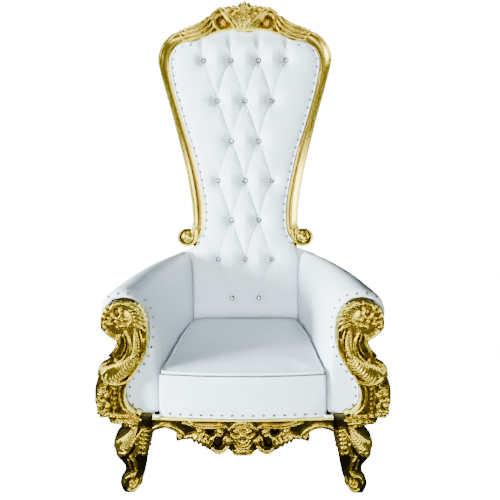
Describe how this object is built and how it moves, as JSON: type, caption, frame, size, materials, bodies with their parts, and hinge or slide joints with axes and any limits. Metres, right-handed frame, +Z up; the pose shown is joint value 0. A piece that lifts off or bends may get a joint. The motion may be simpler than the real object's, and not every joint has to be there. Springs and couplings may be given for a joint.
{
  "type": "throne",
  "caption": "High-backed ceremonial armchair: gilt carved frame with scrolled arm fronts and cabriole legs, white upholstery, deep-buttoned back with crystal buttons.",
  "frame": {"origin": "on the floor, under the centre of the bounding box", "axes": "+Z up, +X to the sitter's left, +Y to the back"},
  "size_m": [0.9834, 0.8369, 1.7706],
  "materials": {
    "gilt_wood": "carved wood under bright gold leaf, burnished on the high parts and dark in the hollows",
    "white_leather": "smooth white artificial leather with a soft sheen, over foam",
    "crystal": "clear cut crystal in a bright metal cup",
    "dark_cloth": "black dust-cover cloth"
  },
  "bodies": {
    "root": {"crest_rail": "gilt_wood", "back_stile_left": "gilt_wood", "back_stile_right": "gilt_wood", "back_pad": "white_leather", "outer_back": "white_leather", "button_row1_1": "crystal", "button_row1_2": "crystal", "button_row2_1": "crystal", "button_row2_2": "crystal", "button_row2_3": "crystal", "button_row3_1": "crystal", "button_row3_2": "crystal", "button_row4_1": "crystal", "button_row4_2": "crystal", "button_row4_3": "crystal", "button_row5_1": "crystal", "button_row5_2": "crystal", "button_row6_1": "crystal", "button_row6_2": "crystal", "button_row6_3": "crystal", "button_row7_1": "crystal", "button_row7_2": "crystal", "button_row7_3": "crystal", "button_row7_4": "crystal", "arm_pad_left": "white_leather", "arm_pad_right": "white_leather", "arm_scroll_left": "gilt_wood", "arm_scroll_right": "gilt_wood", "seat_pad": "white_leather", "seat_deck": "dark_cloth", "apron": "gilt_wood", "side_rail_left": "gilt_wood", "side_rail_right": "gilt_wood", "back_rail": "gilt_wood", "front_leg_left": "gilt_wood", "front_leg_right": "gilt_wood", "rear_leg_left": "gilt_wood", "rear_leg_right": "gilt_wood"}
  },
  "joints": []
}
